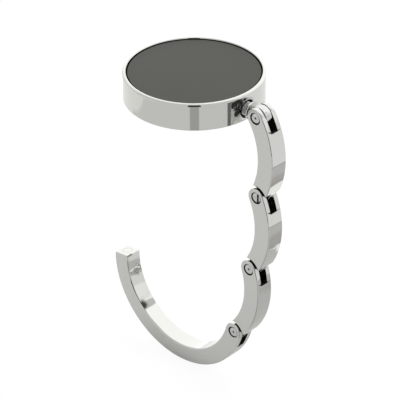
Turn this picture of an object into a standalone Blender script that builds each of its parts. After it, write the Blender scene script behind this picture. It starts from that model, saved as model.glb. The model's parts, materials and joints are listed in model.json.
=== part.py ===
"""A folding purse hook: a disc that rests on a table, and a jointed chain that hangs below its edge as a hook.

Metres, +Z up. The disc lies flat with its axis on Z, and the origin is the middle of the pad's underside. The
swivel stud points along +X, and the opened chain hangs in the XZ plane. Every hinge pin lies along Y, with its
head on the -Y side.
"""

import math

import bmesh
import bpy
from mathutils import Matrix, Vector

# Disc
DISC_RADIUS = 0.01725
DISC_HEIGHT = 0.0069
WALL_THICKNESS = 0.00225
BEZEL_WIDTH = 0.0010
LEDGE_DEPTH = 0.0016
BEZEL_ROUND = 0.00025
FOOT_ROUND = 0.00020
FLOOR_THICKNESS = 0.0006

# Pad under the disc
PAD_BORDER = 0.00165
PAD_THICKNESS = 0.0008
PAD_STANDOFF = 0.0004
PAD_SIDE_GAP = 0.0002

# Face plate and its ring of tape
FACE_THICKNESS = 0.00075
FACE_SETBACK = 0.00035
FACE_SIDE_GAP = 0.0002
FACE_EDGE = 0.0001
TAPE_WIDTH = 0.0008

# Gaps between pieces
BOND_GAP = 0.0001
FIT_GAP = 0.00015
SIDE_GAP = 0.0002

# Swivel stud, whose axis lies STUD_RISE above the disc's lower edge
STUD_RISE = 0.0029
NECK_GAP = 0.00125
NECK_RADIUS = 0.0014
SHANK_RADIUS = 0.0011
FLANGE_RADIUS = 0.0021
FLANGE_THICKNESS = 0.00065
FLANGE_SIDE_GAP = 0.00025
SOCKET_DEPTH = 0.00105
COLLAR_RADIUS = 0.0023
COLLAR_THICKNESS = 0.0005
COLLAR_GAP = 0.00038
PEEN_RADIUS = 0.00155
PEEN_THICKNESS = 0.0005
WASHER_RADIUS = 0.00165
WASHER_THICKNESS = 0.0004
WASHER_SEAT_GAP = 0.00025

# Links and arm: curved bars whose pivots lie a little outside the middle line of the bar
RING_CLEARANCE = 0.00045
BAR_DEPTH = 0.00465
BAR_WIDTH = 0.00485
PIVOT_OFFSET = 0.000125
EAR_RISE = 0.0001
SHOULDER_GAP = 0.0009
SLOT_WIDTH = 0.0022
SLOT_CLEARANCE = 0.00025
SLOT_ROOT = 0.00485
SLOT_ROOT_INNER = 0.0036
NOSE_REACH = 0.00095
TONGUE_NECK = 0.00095
TONGUE_TOP = 0.0020

# Hinge pins
PIN_RADIUS = 0.00075
HEAD_RADIUS = 0.00125
HEAD_THICKNESS = 0.0005
HEAD_GAP = 0.00025
HEAD_EDGE = 0.00015

# Magnet in the arm's end
MAGNET_RADIUS = 0.0012
MAGNET_LENGTH = 0.0020

# Angles in degrees
FIRST_LEAN = 33.7
LINK_SWEEP = 64.6
LINK_OPENING = 57.15
ARM_OPENING = 30.9
ARM_SWEEP = 166.8
TIP_SLANT = 7.7
LIP_ANGLE = 57.0
WEB_ANGLE = -30.0
NOSE_SPAN = 18.0
STOP_PLAY = 1.5
ARC_STEP = 4.0
ROUND_STEP = 15.0

# Sides of turned pieces
DISC_SIDES = 72
STUD_SIDES = 32
PIN_SIDES = 24

# Worked-out sizes
CAVITY_RADIUS = DISC_RADIUS - WALL_THICKNESS
RECESS_RADIUS = DISC_RADIUS - BEZEL_WIDTH
PAD_RECESS_RADIUS = DISC_RADIUS - PAD_BORDER
PAD_RADIUS = PAD_RECESS_RADIUS - PAD_SIDE_GAP
INNER_RADIUS = DISC_RADIUS + RING_CLEARANCE
OUTER_RADIUS = INNER_RADIUS + BAR_DEPTH
MIDDLE_RADIUS = INNER_RADIUS + BAR_DEPTH / 2
PIVOT_RADIUS = MIDDLE_RADIUS + PIVOT_OFFSET
EAR_RADIUS = PIVOT_RADIUS - INNER_RADIUS
EAR_OUTER_REACH = OUTER_RADIUS - PIVOT_RADIUS
EAR_HEIGHT = EAR_RADIUS + EAR_RISE
SHOULDER_RADIUS = EAR_RADIUS + SHOULDER_GAP
SLOT_RADIUS = EAR_RADIUS + SLOT_CLEARANCE
NOSE_RADIUS = EAR_RADIUS + NOSE_REACH
TONGUE_WIDTH = SLOT_WIDTH - 2 * SIDE_GAP
NOSE_START = WEB_ANGLE + LINK_OPENING + STOP_PLAY
RIM_EDGE_Z = PAD_STANDOFF
TOP_Z = RIM_EDGE_Z + DISC_HEIGHT
STUD_Z = RIM_EDGE_Z + STUD_RISE
FLOOR_Z = PAD_THICKNESS + BOND_GAP
LEDGE_Z = TOP_Z - LEDGE_DEPTH
FACE_TOP_Z = TOP_Z - FACE_SETBACK
FACE_Z = FACE_TOP_Z - FACE_THICKNESS

FLOOR_TOP_Z = FLOOR_Z + FLOOR_THICKNESS
MAGNET_POCKET = MAGNET_LENGTH + 2 * FIT_GAP

# Where the stud's steps lie along X
SOCKET_FLOOR = DISC_RADIUS - SOCKET_DEPTH
FLANGE_BACK = SOCKET_FLOOR + BOND_GAP
FLANGE_FRONT = FLANGE_BACK + FLANGE_THICKNESS
COLLAR_BACK = DISC_RADIUS + NECK_GAP
COLLAR_FRONT = COLLAR_BACK + COLLAR_THICKNESS
STUD_REACH = COLLAR_FRONT + COLLAR_GAP + EAR_RADIUS
WASHER_FRONT = CAVITY_RADIUS - WASHER_SEAT_GAP
WASHER_BACK = WASHER_FRONT - WASHER_THICKNESS
PEEN_FRONT = WASHER_BACK - BOND_GAP
PEEN_BACK = PEEN_FRONT - PEEN_THICKNESS

# Reaches of cutters that must pass clear of the metal
CLEAR = 2 * BAR_WIDTH
CLEAR_OF_DISC = 2 * DISC_RADIUS
SHANK_HOLE_START = CAVITY_RADIUS / 2
WELD = BOND_GAP / 10

CHROME = ("chrome", (0.62, 0.62, 0.61), 1.0, 0.08)
STEEL = ("plated_steel", (0.58, 0.58, 0.57), 1.0, 0.15)
DARK = ("dark_inlay", (0.12, 0.12, 0.11), 0.0, 0.35)
RUBBER = ("pad_rubber", (0.02, 0.02, 0.02), 0.0, 0.8)
TAPE = ("tape", (0.85, 0.85, 0.82), 0.0, 0.6)
NICKEL = ("nickel", (0.72, 0.70, 0.66), 1.0, 0.2)


def clear_scene():
    for found in list(bpy.data.objects):
        bpy.data.objects.remove(found, do_unlink=True)


def collection(name):
    made = bpy.data.collections.new(name)
    bpy.context.scene.collection.children.link(made)
    return made


def material(look):
    name, colour, metallic, roughness = look
    if name in bpy.data.materials:
        return bpy.data.materials[name]
    made = bpy.data.materials.new(name)
    made.use_nodes = True
    shader = made.node_tree.nodes["Principled BSDF"]
    shader.inputs["Base Color"].default_value = (*colour, 1.0)
    shader.inputs["Metallic"].default_value = metallic
    shader.inputs["Roughness"].default_value = roughness
    return made


def add(name, mesh, where, look=None):
    made = bpy.data.objects.new(name, mesh)
    where.objects.link(made)
    if look:
        mesh.materials.clear()
        mesh.materials.append(material(look))
        mesh.shade_smooth()
        mesh.set_sharp_from_angle(angle=math.radians(30))
    else:
        made.hide_render = True
        made.display_type = "WIRE"
    return made


def polar(centre, radius, degrees):
    """The point at this radius and direction from a centre, as (x, z)."""
    turn = math.radians(degrees)
    return (centre[0] + radius * math.cos(turn), centre[1] + radius * math.sin(turn))


def arc(centre, radius, start, end, step):
    """Points along an arc from start to end degrees, both ends included."""
    count = max(1, round(abs(end - start) / step))
    return [polar(centre, radius, start + (end - start) * n / count) for n in range(count + 1)]


def evaluated_mesh(source):
    bpy.context.view_layer.update()
    ready = source.evaluated_get(bpy.context.evaluated_depsgraph_get())
    return bpy.data.meshes.new_from_object(ready)


def plate_mesh(name, outline, width):
    """A flat outline in XZ, made as thick as width across Y."""
    curve = bpy.data.curves.new(name, "CURVE")
    curve.dimensions = "2D"
    curve.fill_mode = "BOTH"
    curve.extrude = width / 2
    spline = curve.splines.new("POLY")
    spline.points.add(len(outline) - 1)
    for point, (x, z) in zip(spline.points, outline):
        point.co = (x, z, 0, 1)
    spline.use_cyclic_u = True
    drawn = bpy.data.objects.new(name, curve)
    bpy.context.scene.collection.objects.link(drawn)
    mesh = evaluated_mesh(drawn)
    bpy.data.objects.remove(drawn, do_unlink=True)
    bpy.data.curves.remove(curve)
    shape = bmesh.new()
    shape.from_mesh(mesh)
    bmesh.ops.remove_doubles(shape, verts=shape.verts, dist=WELD)
    bmesh.ops.recalc_face_normals(shape, faces=shape.faces)
    bmesh.ops.rotate(shape, verts=shape.verts, matrix=Matrix.Rotation(math.radians(90), 3, "X"))
    shape.to_mesh(mesh)
    shape.free()
    return mesh


def turned_mesh(name, profile, sides):
    """A solid of revolution about Z, from (radius, z) points that run down its outer side."""
    mesh = bpy.data.meshes.new(name)
    edges = [(n, n + 1) for n in range(len(profile) - 1)]
    if profile[0][0] > 0:
        edges.append((len(profile) - 1, 0))
    mesh.from_pydata([(radius, 0, z) for radius, z in profile], edges, [])
    drawn = bpy.data.objects.new(name, mesh)
    bpy.context.scene.collection.objects.link(drawn)
    screw = drawn.modifiers.new("turn", "SCREW")
    screw.steps = sides
    screw.render_steps = sides
    screw.use_merge_vertices = True
    screw.merge_threshold = WELD
    made = evaluated_mesh(drawn)
    bpy.data.objects.remove(drawn, do_unlink=True)
    bpy.data.meshes.remove(mesh)
    return made


def rod_mesh(name, radius, start, end, sides):
    """A plain cylinder about Z, from start to end."""
    return turned_mesh(name, [(0, end), (radius, end), (radius, start), (0, start)], sides)


def along_y(mesh, x, z):
    """Turns a mesh made about Z so that its +Z side faces -Y, at this x and z."""
    mesh.transform(Matrix.Translation((x, 0, z)) @ Matrix.Rotation(math.radians(90), 4, "X"))
    return mesh


def combine(body, operation, helpers):
    for helper in helpers:
        helper.parent = body
        modifier = body.modifiers.new(helper.name, "BOOLEAN")
        modifier.operation = operation
        modifier.solver = "EXACT"
        modifier.object = helper


def baked(body, helpers):
    """The mesh of a body with its Booleans applied. The body and its helpers go."""
    mesh = evaluated_mesh(body)
    for used in [*helpers, body]:
        bpy.data.objects.remove(used, do_unlink=True)
    return mesh


# A bar's own frame: its upper pivot is the origin, +X points out of the curve there, and the bar runs down

CURVE_CENTRE = (-PIVOT_RADIUS, 0)
UPPER_PIVOT = (0, 0)
LOWER_PIVOT = polar(CURVE_CENTRE, PIVOT_RADIUS, -LINK_SWEEP)
LOWER_OUT = -LINK_SWEEP
LOWER_DOWN = LOWER_OUT - 90


def bar_end(pivot, out, height, start, end):
    """Points round the end of a bar, at angles from its outward direction. They meet the bar's inner and outer
    sides, which lie at different distances from the pivot."""
    points = []
    for x, z in arc(UPPER_PIVOT, 1, start, end, ROUND_STEP):
        across = x * (EAR_OUTER_REACH if x > 0 else EAR_RADIUS)
        middle = polar(pivot, across, out)
        points.append(polar(middle, z * height, out + 90))
    return points


def ear_outline():
    """The rounded top of a bar, from its inner side over to its outer side."""
    return bar_end(UPPER_PIVOT, 0, EAR_HEIGHT, 180, 0)[1:-1]


def nose_outline(pivot, down, start):
    """The stop nose of a tongue, from its outer flank round to its inner one."""
    flank = down + start + NOSE_SPAN
    return arc(pivot, NOSE_RADIUS, flank, down + start, NOSE_SPAN / 3)


def link_outline():
    """A link seen from the side: the outer side, the tongue's eye and nose, the inner side and the ear."""
    nose_end = NOSE_START + NOSE_SPAN
    return [
        *arc(CURVE_CENTRE, OUTER_RADIUS, 0, -LINK_SWEEP, ARC_STEP)[:-1],
        *bar_end(LOWER_PIVOT, LOWER_OUT, EAR_RADIUS, 0, nose_end - 90),
        *nose_outline(LOWER_PIVOT, LOWER_DOWN, NOSE_START),
        *bar_end(LOWER_PIVOT, LOWER_OUT, EAR_RADIUS, NOSE_START - 90, -180),
        *arc(CURVE_CENTRE, INNER_RADIUS, -LINK_SWEEP, 0, ARC_STEP)[1:],
        *ear_outline(),
    ]


def cheek_outline():
    """What is cut from both sides of a link's foot to leave the tongue: a hollow shoulder and a flat lip."""
    lip = LOWER_OUT + LIP_ANGLE
    # the shoulder's arc runs on past the inner side, toward the bar's centre of curvature
    inside = LOWER_OUT + 180
    return [
        *arc(LOWER_PIVOT, SHOULDER_RADIUS, lip, inside, ROUND_STEP / 2),
        *arc(LOWER_PIVOT, CLEAR, inside, lip + 360, 3 * ROUND_STEP),
    ]


def slot_outline(web_angle):
    """The fork's slot: open above the pivot and on the outer side, and closed on the inner side by a web."""
    slope = (SLOT_ROOT - SLOT_ROOT_INNER) / BAR_DEPTH
    # the web's flank lies on a ray from the pivot, web_angle from straight down, and ends on the sloping root
    sine = math.sin(math.radians(web_angle))
    cosine = math.cos(math.radians(web_angle))
    flank = (SLOT_ROOT - slope * EAR_RADIUS) / (cosine - slope * sine)
    return [
        (-CLEAR, CLEAR),
        (-CLEAR, 0),
        *arc(UPPER_PIVOT, SLOT_RADIUS, 180, web_angle + 270, ROUND_STEP / 2),
        (flank * sine, -flank * cosine),
        (EAR_RADIUS, -SLOT_ROOT),
        (CLEAR, -SLOT_ROOT),
        (CLEAR, CLEAR),
    ]


def pin_bore_mesh(pivot):
    return along_y(rod_mesh("bore", PIN_RADIUS + FIT_GAP, -CLEAR, CLEAR, PIN_SIDES), *pivot)


def fork_cutters(cutters, web_angle):
    """What is cut from the top of every bar: the slot, the pin's bore and the seat of its head."""
    slot = add("slot", plate_mesh("slot", slot_outline(web_angle), SLOT_WIDTH), cutters)
    bore = add("bore", pin_bore_mesh(UPPER_PIVOT), cutters)
    seat_start = BAR_WIDTH / 2 - HEAD_THICKNESS - FIT_GAP
    seat_mesh = rod_mesh("head_seat", HEAD_RADIUS + HEAD_GAP, seat_start, CLEAR, PIN_SIDES)
    seat = add("head_seat", along_y(seat_mesh, *UPPER_PIVOT), cutters)
    return [slot, bore, seat]


def cheek_cutters(cutters):
    """One cutter for each side of the foot, each running outward from the tongue's side."""
    made = []
    for side in (-1, 1):
        mesh = plate_mesh("cheek", cheek_outline(), CLEAR)
        mesh.transform(Matrix.Translation((0, side * (TONGUE_WIDTH + CLEAR) / 2, 0)))
        made.append(add("cheek", mesh, cutters))
    return made


def link_mesh(cutters):
    link = add("link", plate_mesh("link", link_outline(), BAR_WIDTH), cutters)
    eye_bore = add("eye_bore", pin_bore_mesh(LOWER_PIVOT), cutters)
    cuts = [eye_bore, *cheek_cutters(cutters), *fork_cutters(cutters, WEB_ANGLE)]
    combine(link, "DIFFERENCE", cuts)
    return baked(link, cuts)


def sweep_at(radius):
    """How far the arm reaches at this radius. Its end is cut at a slant, and its inner side is the longer one."""
    slip = (radius - MIDDLE_RADIUS) * math.tan(math.radians(TIP_SLANT))
    return ARM_SWEEP - math.degrees(slip / radius)


def arm_mesh(cutters):
    outline = [
        *arc(CURVE_CENTRE, OUTER_RADIUS, 0, -sweep_at(OUTER_RADIUS), ARC_STEP),
        *arc(CURVE_CENTRE, INNER_RADIUS, -sweep_at(INNER_RADIUS), 0, ARC_STEP),
        *ear_outline(),
    ]
    arm = add("arm", plate_mesh("arm", outline, BAR_WIDTH), cutters)
    pocket_mesh = rod_mesh("magnet_pocket", MAGNET_RADIUS + FIT_GAP, FIT_GAP - MAGNET_POCKET, CLEAR, PIN_SIDES)
    pocket_mesh.transform(tip_matrix())
    pocket = add("magnet_pocket", pocket_mesh, cutters)
    web_angle = NOSE_START - STOP_PLAY - ARM_OPENING
    cuts = [pocket, *fork_cutters(cutters, web_angle)]
    combine(arm, "DIFFERENCE", cuts)
    return baked(arm, cuts)


def tip_matrix():
    """Puts a mesh made about Z in the middle of the arm's slanting end, with +Z square out of it."""
    x, z = polar(CURVE_CENTRE, MIDDLE_RADIUS, -ARM_SWEEP)
    forward = math.radians(TIP_SLANT - ARM_SWEEP - 90)
    return Matrix.Translation((x, 0, z)) @ Matrix.Rotation(math.radians(90) - forward, 4, "Y")


def pin_mesh():
    """A hinge pin, its head sunk in the near ear and its end level with the far one."""
    near = BAR_WIDTH / 2
    profile = [
        (0, near),
        (HEAD_RADIUS - HEAD_EDGE, near),
        (HEAD_RADIUS, near - HEAD_EDGE),
        (HEAD_RADIUS, near - HEAD_THICKNESS),
        (PIN_RADIUS, near - HEAD_THICKNESS),
        (PIN_RADIUS, -near),
        (0, -near),
    ]
    return along_y(turned_mesh("hinge_pin", profile, PIN_SIDES), *UPPER_PIVOT)


def chain_placements():
    """Each bar's upper pivot and the direction of its +X, opened until the tongues meet the webs."""
    places = []
    pivot = (STUD_REACH, STUD_Z)
    lean = FIRST_LEAN
    for opening in (LINK_OPENING, LINK_OPENING, ARM_OPENING, 0):
        places.append((pivot, lean))
        reach = math.dist(UPPER_PIVOT, LOWER_PIVOT)
        toward = math.degrees(math.atan2(LOWER_PIVOT[1], LOWER_PIVOT[0]))
        pivot = polar(pivot, reach, toward + lean)
        lean += opening - LINK_SWEEP
    return places


def joint_empty(name, place, parent, parts):
    """An empty on a hinge's axis, turned as the bar that hangs from it."""
    (x, z), lean = place
    empty = bpy.data.objects.new(name, None)
    empty.empty_display_size = BAR_DEPTH
    parts.objects.link(empty)
    turned = Matrix.Translation((x, 0, z)) @ Matrix.Rotation(-math.radians(lean), 4, "Y")
    empty.parent = parent
    empty.matrix_basis = world_of(parent).inverted() @ turned
    return empty


def world_of(placed):
    """The world matrix of an empty from its chain of parents, none of which has an offset of its own."""
    return world_of(placed.parent) @ placed.matrix_basis if placed else Matrix.Identity(4)


def build_chain(swivel, parts, cutters):
    links = link_mesh(cutters)
    arm = arm_mesh(cutters)
    pins = pin_mesh()
    names = ("link_1", "link_2", "link_3", "hook_arm")
    parent = swivel
    for number, (name, place) in enumerate(zip(names, chain_placements()), 1):
        parent = joint_empty(f"hinge_{number}", place, parent, parts)
        bar = add(name, arm if name == "hook_arm" else links.copy(), parts, CHROME)
        pin = add(f"hinge_pin_{number}", pins.copy(), parts, STEEL)
        bar.parent = parent
        pin.parent = parent
    magnet_mesh = rod_mesh("tip_magnet", MAGNET_RADIUS, -MAGNET_LENGTH - FIT_GAP, -FIT_GAP, PIN_SIDES)
    magnet_mesh.transform(tip_matrix())
    magnet = add("tip_magnet", magnet_mesh, parts, NICKEL)
    magnet.parent = parent


def along_x(mesh):
    """Turns a mesh made about Z so that its +Z side faces +X, on the stud's axis."""
    mesh.transform(Matrix.Translation((0, 0, STUD_Z)) @ Matrix.Rotation(math.radians(90), 4, "Y"))
    return mesh


def stud_tongue_outline():
    """The stud's tongue: a neck from the collar, an eye round the first pivot, and a stop nose."""
    pivot = (STUD_REACH, STUD_Z)
    down = -90
    nose_start = WEB_ANGLE + FIRST_LEAN + STOP_PLAY
    inside = COLLAR_FRONT - COLLAR_THICKNESS / 2
    neck_end = 180 + math.degrees(math.asin(TONGUE_NECK / EAR_RADIUS))
    return [
        (inside, STUD_Z - TONGUE_NECK),
        (inside, STUD_Z + TONGUE_TOP),
        *arc(pivot, EAR_RADIUS, 90 + ROUND_STEP, down + nose_start + NOSE_SPAN, ROUND_STEP),
        *nose_outline(pivot, down, nose_start),
        *arc(pivot, EAR_RADIUS, down + nose_start, neck_end - 360, ROUND_STEP),
    ]


def build_stud(swivel, parts, cutters):
    profile = [
        (0, COLLAR_FRONT),
        (COLLAR_RADIUS, COLLAR_FRONT),
        (COLLAR_RADIUS, COLLAR_BACK),
        (NECK_RADIUS, COLLAR_BACK),
        (NECK_RADIUS, FLANGE_FRONT),
        (FLANGE_RADIUS, FLANGE_FRONT),
        (FLANGE_RADIUS, FLANGE_BACK),
        (SHANK_RADIUS, FLANGE_BACK),
        (SHANK_RADIUS, PEEN_FRONT),
        (PEEN_RADIUS, PEEN_FRONT),
        (PEEN_RADIUS, PEEN_BACK),
        (0, PEEN_BACK),
    ]
    stud = add("stud", along_x(turned_mesh("stud", profile, STUD_SIDES)), cutters)
    tongue = add("tongue", plate_mesh("tongue", stud_tongue_outline(), TONGUE_WIDTH), cutters)
    bore = add("eye_bore", pin_bore_mesh((STUD_REACH, STUD_Z)), cutters)
    combine(stud, "UNION", [tongue])
    combine(stud, "DIFFERENCE", [bore])
    on_swivel = Matrix.Translation((0, 0, -STUD_Z))
    stud_mesh = baked(stud, [tongue, bore])
    stud_mesh.transform(on_swivel)
    add("swivel_stud", stud_mesh, parts, STEEL).parent = swivel
    washer_mesh = along_x(turned_mesh("stud_washer", washer_profile(), STUD_SIDES))
    washer_mesh.transform(on_swivel)
    add("stud_washer", washer_mesh, parts, STEEL).parent = swivel


def washer_profile():
    hole = SHANK_RADIUS + FIT_GAP
    return [
        (WASHER_RADIUS, WASHER_FRONT),
        (WASHER_RADIUS, WASHER_BACK),
        (hole, WASHER_BACK),
        (hole, WASHER_FRONT),
    ]


def case_profile():
    """The disc's case as half a section: floor, wall, ledge, bezel, rim and the pad's recess."""
    bezel_centre = (DISC_RADIUS - BEZEL_ROUND, TOP_Z - BEZEL_ROUND)
    foot_centre = (DISC_RADIUS - FOOT_ROUND, RIM_EDGE_Z + FOOT_ROUND)
    return [
        (0, FLOOR_TOP_Z),
        (CAVITY_RADIUS, FLOOR_TOP_Z),
        (CAVITY_RADIUS, LEDGE_Z),
        (RECESS_RADIUS, LEDGE_Z),
        (RECESS_RADIUS, TOP_Z),
        *arc(bezel_centre, BEZEL_ROUND, 90, 0, 30),
        *arc(foot_centre, FOOT_ROUND, 0, -90, 45),
        (PAD_RECESS_RADIUS, RIM_EDGE_Z),
        (PAD_RECESS_RADIUS, FLOOR_Z),
        (0, FLOOR_Z),
    ]


def build_disc(parts, cutters):
    case = add("disc_body", turned_mesh("disc_body", case_profile(), DISC_SIDES), parts, CHROME)
    socket_mesh = rod_mesh("socket", FLANGE_RADIUS + FLANGE_SIDE_GAP, SOCKET_FLOOR, CLEAR_OF_DISC, STUD_SIDES)
    shank_mesh = rod_mesh("shank_hole", SHANK_RADIUS + FIT_GAP, SHANK_HOLE_START, CLEAR_OF_DISC, STUD_SIDES)
    socket = add("socket", along_x(socket_mesh), cutters)
    shank_hole = add("shank_hole", along_x(shank_mesh), cutters)
    combine(case, "DIFFERENCE", [socket, shank_hole])

    pad_mesh = rod_mesh("base_pad", PAD_RADIUS, 0, PAD_THICKNESS, DISC_SIDES)
    add("base_pad", pad_mesh, parts, RUBBER)

    face_radius = RECESS_RADIUS - FACE_SIDE_GAP
    face_profile = [
        (0, FACE_TOP_Z),
        (face_radius - FACE_EDGE, FACE_TOP_Z),
        (face_radius, FACE_TOP_Z - FACE_EDGE),
        (face_radius, FACE_Z),
        (0, FACE_Z),
    ]
    add("face_plate", turned_mesh("face_plate", face_profile, DISC_SIDES), parts, DARK)

    tape_outer = face_radius - FIT_GAP
    tape_inner = tape_outer - TAPE_WIDTH
    tape_top = FACE_Z - BOND_GAP
    tape_bottom = LEDGE_Z + BOND_GAP
    tape_profile = [
        (tape_outer, tape_top),
        (tape_outer, tape_bottom),
        (tape_inner, tape_bottom),
        (tape_inner, tape_top),
    ]
    add("face_adhesive", turned_mesh("face_adhesive", tape_profile, DISC_SIDES), parts, TAPE)


def main():
    clear_scene()
    parts = collection("purse_hook")
    cutters = collection("cutters")
    build_disc(parts, cutters)
    swivel = bpy.data.objects.new("swivel", None)
    swivel.empty_display_size = BAR_DEPTH
    swivel.location = Vector((0, 0, STUD_Z))
    parts.objects.link(swivel)
    build_stud(swivel, parts, cutters)
    build_chain(swivel, parts, cutters)


main()
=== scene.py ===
# %% [markdown]
# # A folding purse hook
# A flat round disc lies on a table, and a jointed chain of curved bars hangs below its edge and ends in a
# hook for a bag. Nearly all of it is polished chrome, so the lesson is about shapes whose edges are clean
# enough to mirror a room, and about a room that is worth mirroring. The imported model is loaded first,
# because its joints say where every hinge is and its box may not be outgrown.

import json
import math

import bmesh
import bpy
from mathutils import Matrix, Vector


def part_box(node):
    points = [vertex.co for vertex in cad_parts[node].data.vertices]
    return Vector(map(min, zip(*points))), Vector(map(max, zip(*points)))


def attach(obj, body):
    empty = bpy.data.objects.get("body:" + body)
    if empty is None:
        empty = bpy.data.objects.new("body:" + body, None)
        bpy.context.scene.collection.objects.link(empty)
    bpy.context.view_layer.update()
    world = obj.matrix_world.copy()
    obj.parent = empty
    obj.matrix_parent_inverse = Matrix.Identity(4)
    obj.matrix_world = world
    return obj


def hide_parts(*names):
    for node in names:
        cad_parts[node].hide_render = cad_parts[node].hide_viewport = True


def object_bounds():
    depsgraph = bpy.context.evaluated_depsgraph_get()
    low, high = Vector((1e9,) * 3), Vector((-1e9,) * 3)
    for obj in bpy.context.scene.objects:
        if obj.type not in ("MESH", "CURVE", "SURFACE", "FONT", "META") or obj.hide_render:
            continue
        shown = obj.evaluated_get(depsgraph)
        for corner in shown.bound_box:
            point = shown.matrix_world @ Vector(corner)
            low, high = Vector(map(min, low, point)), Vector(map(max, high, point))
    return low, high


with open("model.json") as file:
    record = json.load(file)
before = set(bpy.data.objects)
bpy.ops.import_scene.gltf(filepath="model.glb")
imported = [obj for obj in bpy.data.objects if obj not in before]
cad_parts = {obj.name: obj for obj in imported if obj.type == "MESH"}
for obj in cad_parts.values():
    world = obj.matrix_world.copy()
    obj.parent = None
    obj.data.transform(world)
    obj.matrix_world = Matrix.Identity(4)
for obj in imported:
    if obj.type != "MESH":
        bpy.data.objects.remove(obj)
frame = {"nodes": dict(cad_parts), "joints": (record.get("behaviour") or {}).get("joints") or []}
packed_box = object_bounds()
print("packed box, mm:", [[round(1000 * x, 2) for x in corner] for corner in packed_box])

# %% [markdown]
# ## One class for every node tree
# Here a `Wire` stands for one output of a node, and Python's own signs on it add Math nodes, so a mask reads
# like the formula that it is. Every other node comes from `Tree.node`, which takes its type, what goes
# into its sockets and its settings, in shader trees and geometry trees alike.

# %% Wires and trees
class Wire:
    """One output socket. Arithmetic and comparisons on it add Math nodes to its tree."""

    def __init__(self, tree, socket):
        self.tree = tree
        self.socket = socket

    def __abs__(self):
        return self.tree.math("ABSOLUTE", self)

    def rise(self, low, high):
        """0 below low, 1 above high, and an S-shaped rise between them."""
        sockets = {"Value": self, "From Min": low, "From Max": high}
        return self.tree.node("ShaderNodeMapRange", sockets, {"interpolation_type": "SMOOTHSTEP"})

    def fall(self, low, high):
        return 1 - self.rise(low, high)

    def past(self, edge, blur):
        return self.rise(edge - blur, edge + blur)

    def axes(self):
        x = self.tree.node("ShaderNodeSeparateXYZ", {"Vector": self})
        return x, x.also("Y"), x.also("Z")

    def also(self, output):
        """Another output of the node that this wire comes from."""
        return Wire(self.tree, self.socket.node.outputs[output])

    def into(self, node, socket):
        self.tree.node_tree.links.new(self.socket, node.inputs[socket])


def sign(operation, swapped=False):
    def act(self, other):
        return self.tree.math(operation, other, self) if swapped else self.tree.math(operation, self, other)
    return act


Wire.__add__ = Wire.__radd__ = sign("ADD")
Wire.__mul__ = Wire.__rmul__ = sign("MULTIPLY")
Wire.__sub__, Wire.__rsub__ = sign("SUBTRACT"), sign("SUBTRACT", swapped=True)
Wire.__truediv__ = sign("DIVIDE")
Wire.__lt__, Wire.__gt__ = sign("LESS_THAN"), sign("GREATER_THAN")


class Tree:
    """A node tree, with one method that makes any node."""

    def __init__(self, node_tree):
        self.node_tree = node_tree

    def node(self, kind, sockets=None, settings=None, output=0):
        """Adds a node, makes its settings, fills its sockets, and returns one of its outputs."""
        made = self.node_tree.nodes.new(kind)
        for key, value in (settings or {}).items():
            setattr(made, key, value)
        for key, value in (sockets or {}).items():
            if isinstance(value, Wire):
                value.into(made, key)
            else:
                made.inputs[key].default_value = value
        return Wire(self, made.outputs[output])

    def math(self, operation, *values):
        return self.node("ShaderNodeMath", dict(enumerate(values)), {"operation": operation})

    def vector(self, operation, a, b, output=0):
        return self.node("ShaderNodeVectorMath", {0: a, 1: b}, {"operation": operation}, output)


def most(first, *others):
    for other in others:
        first = first.tree.math("MAXIMUM", first, other)
    return first


def distance(a, b):
    return a.tree.math("SQRT", a * a + b * b)


def geometry_tree(name, inputs):
    """A geometry tree with these named inputs, as (name, socket type, default). Returns it and its wires."""
    made = bpy.data.node_groups.new(name, "GeometryNodeTree")
    made.interface.new_socket("Geometry", in_out="INPUT", socket_type="NodeSocketGeometry")
    for label, kind, default in inputs:
        socket = made.interface.new_socket(label, in_out="INPUT", socket_type="NodeSocket" + kind)
        if default is not None:
            socket.default_value = default
    made.interface.new_socket("Geometry", in_out="OUTPUT", socket_type="NodeSocketGeometry")
    tree = Tree(made)
    start = made.nodes.new("NodeGroupInput")
    wires = {socket.name: Wire(tree, socket) for socket in start.outputs if socket.name}
    return tree, wires


def end_tree(tree, geometry, material):
    """Every geometry tree here ends the same way: real geometry, with its material on it."""
    real = tree.node("GeometryNodeRealizeInstances", {"Geometry": geometry})
    painted = tree.node("GeometryNodeSetMaterial", {"Geometry": real, "Material": material})
    painted.into(tree.node_tree.nodes.new("NodeGroupOutput"), "Geometry")
    print("tree", tree.node_tree.name, "has", len(tree.node_tree.nodes), "nodes")


def run_tree(made, tree, values):
    """Puts a geometry tree on an object and sets its inputs by their sockets' identifiers."""
    modifier = made.modifiers.new(tree.node_tree.name, "NODES")
    modifier.node_group = tree.node_tree
    for item in tree.node_tree.interface.items_tree:
        if item.in_out == "INPUT" and item.name in values:
            modifier[item.identifier] = values[item.name]

# %% [markdown]
# ## From modifiers to a plain mesh
# Booleans, bevels and geometry trees are easy to change while they are modifiers, but a finished piece is a
# plain mesh whose object sits at the origin. `finished` does that step. Weighted normals matter most on
# chrome: without them a flat face next to a rounded edge shades as if it were dented.

# %% Baking and rounding
ROUND_ABOVE_DEGREES = 32
EDGE_SEGMENTS = 3
FLAT_PROFILE = 0.3
ROUND_PROFILE = 0.5
LARGE_FACE_WEIGHT = 100


def evaluated_mesh(made):
    bpy.context.view_layer.update()
    graph = bpy.context.evaluated_depsgraph_get()
    return bpy.data.meshes.new_from_object(
        made.evaluated_get(graph), preserve_all_data_layers=True, depsgraph=graph
    )


def new_object(name, mesh):
    made = bpy.data.objects.new(name, mesh)
    bpy.context.scene.collection.objects.link(made)
    return made


def edited(mesh, change):
    shape = bmesh.new()
    shape.from_mesh(mesh)
    change(shape)
    shape.to_mesh(mesh)
    shape.free()
    return mesh


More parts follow.
